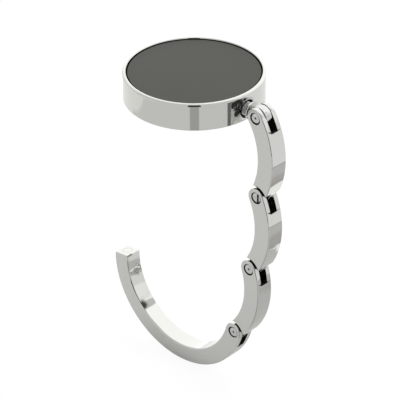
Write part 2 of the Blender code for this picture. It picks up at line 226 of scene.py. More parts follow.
def outward(mesh):
    """Merges doubled points and turns every face outward."""
    def change(shape):
        bmesh.ops.remove_doubles(shape, verts=shape.verts, dist=1e-7)
        bmesh.ops.recalc_face_normals(shape, faces=shape.faces)
    edited(mesh, change).shade_smooth()
    return mesh


def combine(operation, body, *others):
    """Cuts these meshes from a mesh, or joins them to it, one after the other."""
    made = new_object("body", body)
    helpers = [new_object("other", mesh) for mesh in others]
    for helper in helpers:
        modifier = made.modifiers.new("combine", "BOOLEAN")
        modifier.operation = operation
        modifier.solver = "EXACT"
        modifier.object = helper
    mesh = evaluated_mesh(made)
    for used in [made, *helpers]:
        bpy.data.objects.remove(used)
    return mesh


def weigh_edges(mesh, rule):
    """Stores a bevel weight on every sharp edge. The rule gives it from the edge's middle."""
    def change(shape):
        layer = shape.edges.layers.float.new("bevel_weight_edge")
        for edge in shape.edges:
            if len(edge.link_faces) == 2 and edge.calc_face_angle() > math.radians(ROUND_ABOVE_DEGREES):
                edge[layer] = rule((edge.verts[0].co + edge.verts[1].co) / 2)
    return edited(mesh, change)


def finished(made, width, body, node, weighed=False):
    """Rounds a piece, a weighed edge by its share of the width, and hands it to its body."""
    bevel = made.modifiers.new("round", "BEVEL")
    bevel.limit_method = "WEIGHT" if weighed else "ANGLE"
    bevel.angle_limit = math.radians(ROUND_ABOVE_DEGREES)
    bevel.width = width
    bevel.segments = EDGE_SEGMENTS
    bevel.profile = FLAT_PROFILE if weighed else ROUND_PROFILE
    bevel.use_clamp_overlap = not weighed
    weighted = made.modifiers.new("weigh", "WEIGHTED_NORMAL")
    weighted.keep_sharp = True
    weighted.weight = LARGE_FACE_WEIGHT
    mesh = evaluated_mesh(made)
    made.modifiers.clear()
    made.data = mesh
    mesh.name = made.name
    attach(made, body)
    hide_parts(node)
    mesh.calc_loop_triangles()
    print(made.name, "triangles:", len(mesh.loop_triangles))

# %% [markdown]
# ## Sizes of the castings
# Shapes and finishes both need these sizes, because a finish has to know where a slot or a seat is to darken
# it. The links and the arm share one section, and their pivots lie on a circle a little outside its middle.

# %% Sizes
BEZEL_WIDTH = 0.0009
SOCKET_RADIUS = 0.00235
SOCKET_DEPTH = 0.00105
STUD_HEIGHT = frame["joints"][0]["pos_m"][2]
INNER_RADIUS = 0.0177
BAR_DEPTH = 0.00465
BAR_WIDTH = 0.00485
MIDDLE_RADIUS = INNER_RADIUS + BAR_DEPTH / 2
PIVOT_RADIUS = 0.02015
OUTER_RADIUS = INNER_RADIUS + BAR_DEPTH
EAR_RADIUS = PIVOT_RADIUS - INNER_RADIUS
EAR_OUTER_REACH = OUTER_RADIUS - PIVOT_RADIUS
EAR_HEIGHT = 0.00255
LINK_SWEEP = 64.6
ARM_SWEEP = 166.8
TIP_SLANT = 7.7
FIRST_LEAN = 33.7
LINK_OPENING = 57.15
ARM_OPENING = 30.9
SHOULDER_RADIUS = 0.00335
LIP_ANGLE = 57
SLOT_WIDTH = 0.0022
TONGUE_WIDTH = 0.0018
SLOT_RADIUS = 0.0027
SLOT_ROOT = 0.00485
SLOT_ROOT_INNER = 0.0036
SLOT_REACH = 1.4 * SLOT_ROOT
NOSE_RADIUS = 0.0034
NOSE_SPAN = 18
WEB_ANGLE = -30
STOP_PLAY = 1.5
NOSE_START = WEB_ANGLE + LINK_OPENING + STOP_PLAY
PIN_BORE = 0.0009
SEAT_RADIUS = 0.0015
SEAT_DEPTH = 0.00065


def polar(centre, radius, degrees):
    turn = math.radians(degrees)
    return (centre[0] + radius * math.cos(turn), centre[1] + radius * math.sin(turn))


def arc(centre, radius, start, end, step):
    """Points along an arc, from start to end degrees, both ends included."""
    count = max(1, round(abs(end - start) / step))
    return [polar(centre, radius, start + (end - start) * n / count) for n in range(count + 1)]


def sweep_at(radius):
    """How far the arm reaches at this radius. Its end is cut at a slant, with the inner side longer."""
    slip = (radius - MIDDLE_RADIUS) * math.tan(math.radians(TIP_SLANT))
    return ARM_SWEEP - math.degrees(slip / radius)


CURVE_CENTRE = (-PIVOT_RADIUS, 0)
UPPER_PIVOT = (0, 0)
LOWER_PIVOT = polar(CURVE_CENTRE, PIVOT_RADIUS, -LINK_SWEEP)
LOWER_OUT = -LINK_SWEEP

print("pivot spacing, mm:", round(1000 * math.dist(UPPER_PIVOT, LOWER_PIVOT), 3))

# %% [markdown]
# ## Chrome
# The castings are plated with bright chrome, which mirrors about six tenths of the light. A perfect mirror
# looks computed, so three faint noises on Object coordinates lie over each other: a slow waviness from the
# polishing wheel, which bends the reflections, a haze that changes the roughness, and a touch of warmth in
# the plating.

# %% Chrome on the castings
CHROME_TINT = (0.62, 0.622, 0.6, 1)
CHROME_WARM_TINT = (0.605, 0.603, 0.572, 1)
WARMTH_SCALE = 45
HAZE_SCALE = 120
WAVE_SCALE = 260
WAVE_HEIGHT = 2.5e-6
CHROME_ROUGHNESS = 0.035
HAZE_ROUGHNESS = 0.05
# extra roughness where recesses get painted shade
RECESS_ROUGHNESS = 0.4


def new_material(name, constants=None):
    """A material, its tree, its shader with these constants, and the Object coordinates."""
    made = bpy.data.materials.new(name)
    made.use_nodes = True
    tree = Tree(made.node_tree)
    shader = made.node_tree.nodes["Principled BSDF"]
    for socket, value in (constants or {}).items():
        shader.inputs[socket].default_value = value
    return made, tree, shader, tree.node("ShaderNodeTexCoord", output="Object")


def noise(point, scale, detail=2):
    return point.tree.node("ShaderNodeTexNoise", {"Vector": point, "Scale": scale, "Detail": detail})


def tint(mask, low, high):
    return mask.tree.node("ShaderNodeMix", {0: mask, 6: low, 7: high}, {"data_type": "RGBA"}, output=2)


def paint(shader, colour, roughness, height=None, depth=0):
    """Links a shader's colour and roughness, and a bump of this depth where there is a height."""
    colour.into(shader, "Base Color")
    roughness.into(shader, "Roughness")
    if height is not None:
        bumped = height.tree.node("ShaderNodeBump", {"Distance": depth, "Height": height})
        bumped.into(shader, "Normal")


def chrome_material(name, recesses):
    """Chrome with painted shade: it turns nearly black and rougher where the given mask says so."""
    made, tree, shader, point = new_material(name, {"Metallic": 1})
    hidden = recesses(point)
    plating = tint(noise(point, WARMTH_SCALE, 1), CHROME_TINT, CHROME_WARM_TINT)
    haze = noise(point, HAZE_SCALE, 4).rise(0.45, 0.75)
    rough = CHROME_ROUGHNESS + HAZE_ROUGHNESS * haze + RECESS_ROUGHNESS * hidden
    paint(shader, tint(hidden, plating, PAINTED_SHADE_TINT), rough, noise(point, WAVE_SCALE, 1), WAVE_HEIGHT)
    return made

# %% [markdown]
# Slots, seats, the shoulders beside a tongue and the disc's recesses get painted shade: their faces are
# coloured nearly black. They are found by
# formula: in the disc by the distance from the stud's axis, and in a bar by the place in the bar's own
# frame, which comes from the hinge's place and lean that the hanging tree stores. Other marks are added the
# same way: painted dark reflections beside the socket and inside the hook, and inside the hook a scuff and a
# nick at the tip's edge.

# %% Painted shade in recesses, and other marks
# painted shade: the nearly black colour of slots, seats and recesses
PAINTED_SHADE_TINT = (0.05, 0.049, 0.046, 1)
RECESS_MARGIN = 0.00003
BEZEL_SHINE = 0.00012
SHINY_DEPTH = 0.0009
SEAT_SHINE = 0.0006
# painted reflection: dark spots on the rim beside the socket, where the chain is mirrored
RIM_REFLECTION_SPOTS = ((-0.0033, 0.0023, 0.0021), (-0.0033, -0.0001, 0.001))
RIM_REFLECTION_SCALE = 700
RIM_REFLECTION_STRENGTH = 1.5
# painted reflection: a ragged dark patch inside the hook
HOOK_REFLECTION_SWEEP = 121.3
HOOK_REFLECTION_SIDE = -0.0019
HOOK_REFLECTION_RADIUS = 0.0019
HOOK_REFLECTION_SCALE = 900
HOOK_REFLECTION_RAGGEDNESS = 0.0012
SCUFF_SWEEP = 151
SCUFF_SIDE = 0.0007
SCUFF_RADIUS = 0.0021
SCUFF_SCALE = 2400
SCUFF_STRENGTH = 0.6
NICK_LENGTH = 0.0019
NICK_STRENGTH = 0.75
NICK_WIDTH = 0.00036


def stored(point, name, output):
    """A value that a geometry tree has written on the mesh."""
    return point.tree.node("ShaderNodeAttribute", {}, {"attribute_name": name}, output)


# Painted shade: the disc's socket and the recess wall under the bezel are coloured nearly black.
def case_recess_shade(point):
    x, y, z = point.axes()
    from_middle = distance(x, y)
    rim = frame["nodes"]["disc_body"].dimensions.x / 2
    in_socket = (distance(y, z - STUD_HEIGHT) < SOCKET_RADIUS + RECESS_MARGIN) * (x > 0)
    in_socket = in_socket * (from_middle < rim - RECESS_MARGIN)
    in_face = (from_middle < rim - BEZEL_WIDTH + RECESS_MARGIN) * (z > STUD_HEIGHT)
    hidden = most(in_socket, in_face * (z < packed_box[1][2] - BEZEL_SHINE))
    # Painted reflection: dark noisy patches beside the socket stand in for the chain's reflection in the rim.
    rim_reflection = RIM_REFLECTION_STRENGTH * noise(point, RIM_REFLECTION_SCALE).rise(0.35, 0.55)
    rim_reflection = rim_reflection * (x > 0) * (z < packed_box[1][2] - BEZEL_WIDTH / 2)
    for spot_y, spot_z, reach in RIM_REFLECTION_SPOTS:
        away = distance(y - spot_y, z - (STUD_HEIGHT + spot_z))
        hidden = most(hidden, rim_reflection * away.fall(reach / 2, reach))
    return hidden


def own_place(point):
    """Where a point lies in its bar's own frame."""
    place = stored(point, "hinge_place", "Vector")
    lean = stored(point, "hinge_lean", "Fac")
    sockets = {"Vector": point.tree.vector("SUBTRACT", point, place), "Angle": lean}
    return point.tree.node("ShaderNodeVectorRotate", sockets, {"rotation_type": "Y_AXIS"})


# Painted shade: a fork's slot and its pin seat are coloured nearly black.
def fork_recess_shade(point):
    x, y, z = own_place(point).axes()
    from_pin = distance(x, z)
    in_slot = (abs(y) < SLOT_WIDTH / 2 + RECESS_MARGIN) * (from_pin < SLOT_REACH)
    in_slot = in_slot * (z > -SLOT_ROOT - RECESS_MARGIN) * (x > -SHINY_DEPTH)
    return most(in_slot, (from_pin < SEAT_RADIUS + RECESS_MARGIN) * (x < SEAT_SHINE))


# Painted shade: the shoulders beside the bar's own tongue are coloured nearly black, as is its fork.
def link_recess_shade(point):
    x, y, z = own_place(point).axes()
    from_eye = distance(x - LOWER_PIVOT[0], z - LOWER_PIVOT[1])
    beside = abs(y) > TONGUE_WIDTH / 2 - RECESS_MARGIN
    return most((from_eye < SHOULDER_RADIUS + RECESS_MARGIN) * beside, fork_recess_shade(point))


def arm_shade_and_marks(point):
    """Painted shade in the arm's fork, and on the inner side of the hook a painted dark reflection, a scuff
    and a nick.
    """
    own = own_place(point)
    x, y, z = own.axes()

    def away(sweep, side):
        spot_x, spot_z = polar(CURVE_CENTRE, INNER_RADIUS, -sweep)
        return own.tree.vector("DISTANCE", own, (spot_x, side, spot_z), "Value")

    inner_side = distance(x - CURVE_CENTRE[0], z) < INNER_RADIUS + 3 * RECESS_MARGIN
    # Painted reflection: a ragged dark patch on the inner face stands in for a dark reflection there.
    uneven = away(HOOK_REFLECTION_SWEEP, HOOK_REFLECTION_SIDE) + HOOK_REFLECTION_RAGGEDNESS * (noise(point, HOOK_REFLECTION_SCALE) - 0.5)
    hook_reflection = uneven.fall(0.3 * HOOK_REFLECTION_RADIUS, HOOK_REFLECTION_RADIUS)
    scratches = noise(point, SCUFF_SCALE).rise(0.47, 0.53)
    scuff = scratches * away(SCUFF_SWEEP, SCUFF_SIDE).fall(SCUFF_RADIUS / 2, SCUFF_RADIUS)
    corner = polar(CURVE_CENTRE, INNER_RADIUS, -sweep_at(INNER_RADIUS))
    from_side = y + BAR_WIDTH / 2
    nick = (from_side < NICK_LENGTH) * (from_side > NICK_WIDTH)
    nick = nick * (distance(x - corner[0], z - corner[1]) < NICK_WIDTH)
    marks = most(hook_reflection, SCUFF_STRENGTH * scuff) * inner_side
    return most(marks, NICK_STRENGTH * nick, fork_recess_shade(point))


chrome = chrome_material("bright_chrome", case_recess_shade)
link_chrome = chrome_material("link_chrome", link_recess_shade)
arm_chrome = chrome_material("arm_chrome", arm_shade_and_marks)
print("chrome nodes:", len(chrome.node_tree.nodes), len(link_chrome.node_tree.nodes))

# %% [markdown]
# ## Turned steel
# The stud and the hinge pins were turned and then plated, so they keep very fine rings round their own axes.
# The turning tree, further down, stores every point's distance from that axis, and this material reads it.
# The stud's thin neck is painted a dull, non-metallic grey, which stands in for the grey reflection that it
# shows.

# %% Steel with turning marks
STEEL_TINT = (0.58, 0.58, 0.57, 1)
STEEL_DARK_TINT = (0.46, 0.455, 0.44, 1)
# painted reflection: the dull grey of the stud's neck
NECK_REFLECTION_TINT = (0.4, 0.395, 0.38, 1)
GRIME_SCALE = 900
RING_PITCH = 0.00009
RING_HEIGHT = 8e-7
SOCKET_SHADE_END = 0.0169
COLLAR_BACK = 0.0185
NECK_RADIUS = 0.0014
PUNCH_RADIUS = 0.00026
SAW_PLACE = 0.0006
SAW_WIDTH = 0.00055
SAW_LENGTH = 0.0019
SAW_DEPTH = 0.00022


def steel_material(name, recesses):
    made, tree, shader, point = new_material(name)
    x = point.axes()[0]
    radius = stored(point, "turned_radius", "Fac")
    rings = 0.5 + 0.5 * tree.math("SINE", radius * (math.tau / RING_PITCH))
    grime = noise(point, GRIME_SCALE, 3).rise(0.5, 0.8)
    # painted shade: the given mask darkens the stud in its socket, the dimple in a pin's head and the saw cut
    # across one
    hidden = recesses(point, radius)
    # Painted reflection: the stud's neck is made a dull, non-metallic grey in place of its grey reflection.
    neck = (radius < NECK_RADIUS + RECESS_MARGIN) * (x < COLLAR_BACK - RECESS_MARGIN)
    neck = neck * (x > SOCKET_SHADE_END)
    plating = tint(neck, tint(grime, STEEL_TINT, STEEL_DARK_TINT), NECK_REFLECTION_TINT)
    (1 - neck).into(shader, "Metallic")
    rough = 0.07 + 0.03 * rings + 0.08 * grime + 0.3 * most(hidden, neck)
    paint(shader, tint(hidden, plating, PAINTED_SHADE_TINT), rough, rings, RING_HEIGHT)
    return made


def stud_socket_shade(point, radius):
    """Painted shade on the stud inside the disc's socket."""
    return point.axes()[0] < SOCKET_SHADE_END


def punch_dimple_shade(point, radius):
    """Painted shade in the dimple in the middle of a pin's head."""
    return (radius < PUNCH_RADIUS) * (point.axes()[1] < 0)


def saw_cut_shade(point, radius):
    """Painted shade in a saw cut across a pin's head, beside its middle."""
    x = point.axes()[0] - stored(point, "hinge_place", "Vector").axes()[0]
    return abs(x - SAW_PLACE) < SAW_WIDTH / 2 + RECESS_MARGIN / 3


steel = steel_material("turned_steel", stud_socket_shade)
pin_steel = steel_material("pin_steel", punch_dimple_shade)
sawn_steel = steel_material("sawn_steel", saw_cut_shade)
print("steel nodes:", len(steel.node_tree.nodes))

# %% [markdown]
# ## The dark inlay
# The disc's face is a dark grey plate with a satin lacquer. It is one even grey from rim to rim, because its
# fine grain blurs the bright tent above it. So the base is nearly black, the roughness is middling with a
# very fine grain, and the shine is weak and a little yellow.

# %% Satin lacquer
INLAY_TINT = (0.02, 0.02, 0.016, 1)
INLAY_PALE_TINT = (0.027, 0.027, 0.022, 1)
SHINE_TINT = (1, 1, 0.86, 1)
SHINE_LEVEL = 0.3
GRAIN_SCALE = 6000
GRAIN_HEIGHT = 1.5e-6
CLOUD_SCALE = 60

shine = {"Specular IOR Level": SHINE_LEVEL, "Specular Tint": SHINE_TINT}
inlay, tree, shader, point = new_material("satin_inlay", shine)
grain = noise(point, GRAIN_SCALE)
cloud = noise(point, CLOUD_SCALE, 3)
grey = tint(0.5 * grain + 0.5 * cloud, INLAY_TINT, INLAY_PALE_TINT)
paint(shader, grey, 0.34 + 0.08 * cloud, grain, GRAIN_HEIGHT)
print("inlay nodes:", len(inlay.node_tree.nodes))

# %% [markdown]
# ## Rubber, tape and the magnet's plating
# The pad under the disc grips the table, so it is a soft black rubber with a pebbled skin and a little dust.
# The tape and the magnet hardly show, but each gets a finish of its own for a view that finds them.

# %% Rubber, tape and nickel
RUBBER_TINT = (0.018, 0.018, 0.019, 1)
RUBBER_DUST_TINT = (0.055, 0.053, 0.05, 1)
PEBBLE_SCALE = 1900
PEBBLE_HEIGHT = 3e-5
DUST_SCALE = 300
TAPE_TINT = (0.8, 0.8, 0.77, 1)
TAPE_SHADE_TINT = (0.7, 0.7, 0.66, 1)
CELL_SCALE = 2500
CELL_HEIGHT = 1e-5
NICKEL_TINT = (0.6, 0.59, 0.57, 1)
NICKEL_PALE_TINT = (0.63, 0.625, 0.61, 1)
NICKEL_CLOUD_SCALE = 700

rubber, tree, shader, point = new_material("pebbled_rubber")
sockets = {"Vector": point, "Scale": PEBBLE_SCALE}
pebbles = tree.node("ShaderNodeTexVoronoi", sockets, {"feature": "SMOOTH_F1"})
dust = noise(point, DUST_SCALE, 5).rise(0.5, 0.8)
paint(shader, tint(dust, RUBBER_TINT, RUBBER_DUST_TINT), 0.72 + 0.15 * dust, 1 - pebbles, PEBBLE_HEIGHT)

tape, tree, shader, point = new_material("foam_tape")
cells = noise(point, CELL_SCALE)
paint(shader, tint(cells, TAPE_SHADE_TINT, TAPE_TINT), 0.6 + 0.15 * cells, cells, CELL_HEIGHT)

nickel, tree, shader, point = new_material("nickel_plate", {"Metallic": 1})
cloud = noise(point, NICKEL_CLOUD_SCALE, 3)
paint(shader, tint(cloud, NICKEL_TINT, NICKEL_PALE_TINT), 0.05 + 0.06 * cloud)
print("other finishes:", rubber.name, tape.name, nickel.name)

# %% [markdown]
# ## A lathe made of nodes
# The disc, the inlay, the pad, the stud and the pins are each one outline, swept round an axis. The Screw
# modifier would do it too, but a geometry tree can also write down each point's distance from the axis,
# which the steel's rings need. It makes a grid, one row for each point of the outline and one column for
# each step round the axis, and moves every point to its place.

# %% The turning tree
def store(tree, geometry, name, kind, value):
    """Writes a value on every point, under this name."""
    sockets = {"Geometry": geometry, "Name": name, "Value": value}
    return tree.node("GeometryNodeStoreNamedAttribute", sockets, {"data_type": kind})


turning, wires = geometry_tree(
    "turn an outline", [("Steps", "Int", 64), ("Material", "Material", None)]
)
outline, steps = wires["Geometry"], wires["Steps"]
count = turning.node("GeometryNodeAttributeDomainSize", {"Geometry": outline}, {"component": "MESH"})
grid = turning.node("GeometryNodeMeshGrid", {"Vertices X": steps + 1, "Vertices Y": count})
index = turning.node("GeometryNodeInputIndex")
column = turning.math("FLOOR", (index + 0.5) / count)
row = index - column * count
sockets = {"Geometry": outline, "Value": turning.node("GeometryNodeInputPosition"), "Index": row}
sampled = turning.node("GeometryNodeSampleIndex", sockets, {"data_type": "FLOAT_VECTOR"})
radius, _, height = sampled.axes()
turn = column / steps * math.tau
x = radius * turning.math("COSINE", turn)
y = radius * turning.math("SINE", turn)
moved = turning.node("ShaderNodeCombineXYZ", {"X": x, "Y": y, "Z": height})
placed = turning.node("GeometryNodeSetPosition", {"Geometry": grid, "Position": moved})
marked = store(turning, placed, "turned_radius", "FLOAT", radius)
welded = turning.node("GeometryNodeMergeByDistance", {"Geometry": marked, "Distance": 1e-7})
end_tree(turning, welded, wires["Material"])


def turned_mesh(outline, steps, material):
    """Turns (radius, height) points, listed down the outer side, into a closed mesh about Z."""
    mesh = bpy.data.meshes.new("outline")
    edges = [(n, n + 1) for n in range(len(outline) - 1)]
    mesh.from_pydata([(radius, 0, height) for radius, height in outline], edges, [])
    made = new_object("outline", mesh)
    run_tree(made, turning, {"Steps": steps, "Material": material})
    result = evaluated_mesh(made)
    bpy.data.objects.remove(made)
    return outward(result)

# %% [markdown]
# ## The disc's case
# The case is a shallow die-cast cup. Its bezel is a ring 0.9 mm wide round the face, rolled over at its top
# edge, which gives the thin white line along the rim. The outline runs down the outside in many small steps,
# so that chrome sees a smooth curve. Inside there is a ledge for the inlay and a hollow for the stud's
# riveted end.

# %% Case, inlay and pad
case_low, case_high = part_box("disc_body")
face_low, face_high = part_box("face_plate")
pad_low, pad_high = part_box("base_pad")
DISC_STEPS = 256
BEZEL_ROUND = 0.0007
BEZEL_INNER_ROUND = 0.0003
BEZEL_LIFT = 0.00015
FOOT_ROUND = 0.00025
WALL_THICKNESS = 0.00225
LEDGE_DEPTH = 0.0016
PAD_BORDER = 0.00165
FLOOR_LOW = 0.0009
FLOOR_HIGH = 0.0015
SHANK_HOLE_RADIUS = 0.00125
SOCKET_STEPS = 64
HOLE_STEPS = 48
CASE_EDGE = 0.00012
FACE_ROUND = 0.00012
PAD_ROUND = 0.00025


def button_outline(radius, top, low, rounding, step):
    """A flat round plate with its upper edge rounded."""
    corner = (radius - rounding, top - rounding)
    return [(0, top), *arc(corner, rounding, 90, 0, step), (radius, low), (0, low)]


def rotation(degrees, axis):
    return Matrix.Rotation(math.radians(degrees), 4, axis)


def along_x(mesh):
    """Lays a mesh made about Z along +X, on the stud's axis."""
    mesh.transform(Matrix.Translation((0, 0, STUD_HEIGHT)) @ rotation(90, "Y"))
    return mesh


def along_y(mesh, x, z):
    """Lays a mesh made about Z along -Y, at this x and z."""
    mesh.transform(Matrix.Translation((x, 0, z)) @ rotation(90, "X"))
    return mesh


def rod(radius, start, end, steps):
    return turned_mesh([(0, end), (radius, end), (radius, start), (0, start)], steps, chrome)


radius, top, low = case_high.x, case_high.z + BEZEL_LIFT, case_low.z
recess = radius - BEZEL_WIDTH
cavity = radius - WALL_THICKNESS
pad_recess = radius - PAD_BORDER
inner_centre = (recess + BEZEL_INNER_ROUND, top - BEZEL_INNER_ROUND)
bezel_centre = (radius - BEZEL_ROUND, top - BEZEL_ROUND)
foot_centre = (radius - FOOT_ROUND, low + FOOT_ROUND)
case_outline = [
    (0, FLOOR_HIGH),
    (cavity, FLOOR_HIGH),
    (cavity, top - LEDGE_DEPTH),
    (recess, top - LEDGE_DEPTH),
    *arc(inner_centre, BEZEL_INNER_ROUND, 180, 90, 18),
    *arc(bezel_centre, BEZEL_ROUND, 90, 0, 9),
    *arc(foot_centre, FOOT_ROUND, 0, -90, 15),
    (pad_recess, low),
    (pad_recess, FLOOR_LOW),
    (0, FLOOR_LOW),
]

reach = 2 * case_high.x
socket = along_x(rod(SOCKET_RADIUS, case_high.x - SOCKET_DEPTH, reach, SOCKET_STEPS))
shank_hole = along_x(rod(SHANK_HOLE_RADIUS, case_high.x / 2, reach, HOLE_STEPS))
shell = turned_mesh(case_outline, DISC_STEPS, chrome)
case = new_object("case_shell", combine("DIFFERENCE", shell, socket, shank_hole))
finished(case, CASE_EDGE, "disc", "disc_body")

face_top = face_high.z + BEZEL_LIFT
face_outline = button_outline(face_high.x, face_top, face_low.z, FACE_ROUND, 15)
face = new_object("inlay_plate", turned_mesh(face_outline, DISC_STEPS, inlay))
finished(face, FACE_ROUND / 4, "disc", "face_plate")

pad_outline = [
    (0, pad_high.z),
    (pad_high.x, pad_high.z),
    *arc((pad_high.x - PAD_ROUND, pad_low.z + PAD_ROUND), PAD_ROUND, 0, -90, 15),
    (0, pad_low.z),
]
pad = new_object("grip_pad", turned_mesh(pad_outline, DISC_STEPS, rubber))
finished(pad, PAD_ROUND / 4, "disc", "base_pad")

# %% [markdown]
# ## The bars of the chain
# Three equal links and one long arm are cast to the same section, 4.65 mm deep and 4.85 mm wide, and bent to
# the circle of the folded ring. Each bar's fork holds the tongue of the bar above, whose stop nose meets a
# web inside the fork, so the chain opens only so far. A bar's outline is a handful of arcs in its own frame:
# the upper pivot is the origin, +X points out of the curve, and the bar runs down from there. bmesh pulls it
# through the bar's width and leaves the sides as single faces, which the bevel likes best.

# %% Outlines and plates
CLEAR = 2 * BAR_WIDTH
BAR_STEP = 1.5
EYE_STEP = 6
CORNERS = ((-1, -1), (1, -1), (1, 1), (-1, 1))


def plate_mesh(outline, width, middle=0, material=chrome):
    """A flat outline in XZ, as thick as width across Y."""
    shape = bmesh.new()
    points = [shape.verts.new((x, middle - width / 2, z)) for x, z in outline]
    face = shape.faces.new(points)
    pulled = bmesh.ops.extrude_face_region(shape, geom=[face])
    moved = [item for item in pulled["geom"] if isinstance(item, bmesh.types.BMVert)]
    bmesh.ops.translate(shape, verts=moved, vec=(0, width, 0))
    mesh = bpy.data.meshes.new("plate")
    shape.to_mesh(mesh)
    shape.free()
    mesh.materials.append(material)
    return outward(mesh)


def bar_end(pivot, out, height, start, end):
    """Points round the end of a bar, at angles from its outward direction."""
    points = []
    for x, z in arc(UPPER_PIVOT, 1, start, end, EYE_STEP):
        across = x * (EAR_OUTER_REACH if x > 0 else EAR_RADIUS)
        points.append(polar(polar(pivot, across, out), z * height, out + 90))
    return points


def nose_outline(pivot, down, start):
    return arc(pivot, NOSE_RADIUS, down + start + NOSE_SPAN, down + start, EYE_STEP)


def slot_outline(web_angle):
    slope = (SLOT_ROOT - SLOT_ROOT_INNER) / BAR_DEPTH
    sine, cosine = math.sin(math.radians(web_angle)), math.cos(math.radians(web_angle))
    flank = (SLOT_ROOT - slope * EAR_RADIUS) / (cosine - slope * sine)
    return [
        (-CLEAR, CLEAR),
        (-CLEAR, 0),
        *arc(UPPER_PIVOT, SLOT_RADIUS, 180, web_angle + 270, EYE_STEP),
        (flank * sine, -flank * cosine),
        (EAR_RADIUS, -SLOT_ROOT),
        (CLEAR, -SLOT_ROOT),
        (CLEAR, CLEAR),
    ]


ear_outline = bar_end(UPPER_PIVOT, 0, EAR_HEIGHT, 180, 0)[1:-1]
link_outline = [
    *arc(CURVE_CENTRE, OUTER_RADIUS, 0, -LINK_SWEEP, BAR_STEP)[:-1],
    *bar_end(LOWER_PIVOT, LOWER_OUT, EAR_RADIUS, 0, NOSE_START + NOSE_SPAN - 90),
    *nose_outline(LOWER_PIVOT, LOWER_OUT - 90, NOSE_START),
    *bar_end(LOWER_PIVOT, LOWER_OUT, EAR_RADIUS, NOSE_START - 90, -180),
    *arc(CURVE_CENTRE, INNER_RADIUS, -LINK_SWEEP, 0, BAR_STEP)[1:],
    *ear_outline,
]
arm_outline = [
    *arc(CURVE_CENTRE, OUTER_RADIUS, 0, -sweep_at(OUTER_RADIUS), BAR_STEP),
    *arc(CURVE_CENTRE, INNER_RADIUS, -sweep_at(INNER_RADIUS), 0, BAR_STEP),
    *ear_outline,
]
lip, inside = LIP_ANGLE - LINK_SWEEP, 180 - LINK_SWEEP
cheek_outline = [
    *arc(LOWER_PIVOT, SHOULDER_RADIUS, lip, inside, EYE_STEP),
    *arc(LOWER_PIVOT, CLEAR, inside, lip + 360, 45),
]
print("outline points:", len(link_outline), len(arm_outline), len(cheek_outline))

# %% [markdown]
# Every fork gets the same cuts: its slot, its bore and its seat. The seat is half a millimetre wider than
# the pin's head in it, and that gap is the dark ring round each pin. Polishing wears the edges unevenly, so
# a rule gives every sharp edge its own share of the full rounding.

# %% Cut the bars
BORE_STEPS = 40
SEAT_STEPS = 56
TIGHT_EDGE_SHARE = 0.2
FINE_EDGE_SHARE = 0.22
LONG_EDGE_SHARE = 0.55
BROAD_EDGE_SHARE = 1
WITHIN = 0.00004
MAGNET_RADIUS = 0.0012
MAGNET_LENGTH = 0.002
MAGNET_GAP = 0.00003
MAGNET_STEPS = 48
POCKET_DEPTH = 0.0023


def limited(value):
    return min(max(value, 0), 1)


def from_centre(middle):
    return math.hypot(middle.x - CURVE_CENTRE[0], middle.z)


def fork_edge_share(middle):
    """How much of the full rounding the edges round a fork get."""
    from_pin = math.hypot(middle.x, middle.z)
    in_slot = abs(middle.y) < SLOT_WIDTH / 2 + WITHIN and from_pin < SLOT_REACH
    if in_slot or from_pin < SEAT_RADIUS + WITHIN:
        return TIGHT_EDGE_SHARE
    outer_part = limited((from_centre(middle) - INNER_RADIUS) / BAR_DEPTH)
    return FINE_EDGE_SHARE + (LONG_EDGE_SHARE - FINE_EDGE_SHARE) * outer_part * (middle.y < 0)


def link_edge_share(middle):
    from_eye = math.hypot(middle.x - LOWER_PIVOT[0], middle.z - LOWER_PIVOT[1])
    if from_eye < SHOULDER_RADIUS + WITHIN:
        return TIGHT_EDGE_SHARE
    on_back = from_centre(middle) > OUTER_RADIUS - WITHIN and abs(middle.y) < BAR_WIDTH / 2 - WITHIN
    if on_back and from_eye < 2 * SHOULDER_RADIUS:
        return BROAD_EDGE_SHARE
    return fork_edge_share(middle)


def arm_edge_share(middle):
    """The arm's edges grow from a link's to full rounding on the way round the hook."""
    if (middle - at_tip.translation).length < MAGNET_RADIUS + 2 * MAGNET_GAP:
        return TIGHT_EDGE_SHARE / 4
    grown = limited(math.hypot(middle.x, middle.z) / SLOT_ROOT / 2 - 1)
    return fork_edge_share(middle) * (1 - grown) + BROAD_EDGE_SHARE * grown


def bore(place):
    return along_y(rod(PIN_BORE, -CLEAR, CLEAR, BORE_STEPS), *place)


def fork_cutters(web_angle):
    seat = along_y(rod(SEAT_RADIUS, BAR_WIDTH / 2 - SEAT_DEPTH, CLEAR, SEAT_STEPS), *UPPER_PIVOT)
    return [plate_mesh(slot_outline(web_angle), SLOT_WIDTH), bore(UPPER_PIVOT), seat]


offset = (TONGUE_WIDTH + CLEAR) / 2
cheeks = [plate_mesh(cheek_outline, CLEAR, middle) for middle in (-offset, offset)]
cutters = [bore(LOWER_PIVOT), *cheeks, *fork_cutters(WEB_ANGLE)]
made = combine("DIFFERENCE", plate_mesh(link_outline, BAR_WIDTH), *cutters)
link_shape = weigh_edges(made, link_edge_share)

# puts a mesh made about Z on the middle line of the arm's end, with +Z out of the end
tip_x, tip_z = polar(CURVE_CENTRE, MIDDLE_RADIUS, -ARM_SWEEP)
at_tip = Matrix.Translation((tip_x, 0, tip_z)) @ rotation(180 + ARM_SWEEP - TIP_SLANT, "Y")
pocket = rod(MAGNET_RADIUS + MAGNET_GAP, -POCKET_DEPTH, CLEAR, MAGNET_STEPS)
pocket.transform(at_tip)
cutters = [pocket, *fork_cutters(NOSE_START - STOP_PLAY - ARM_OPENING)]
made = combine("DIFFERENCE", plate_mesh(arm_outline, BAR_WIDTH), *cutters)
arm_shape = weigh_edges(made, arm_edge_share)
print("link faces:", len(link_shape.polygons), "arm faces:", len(arm_shape.polygons))

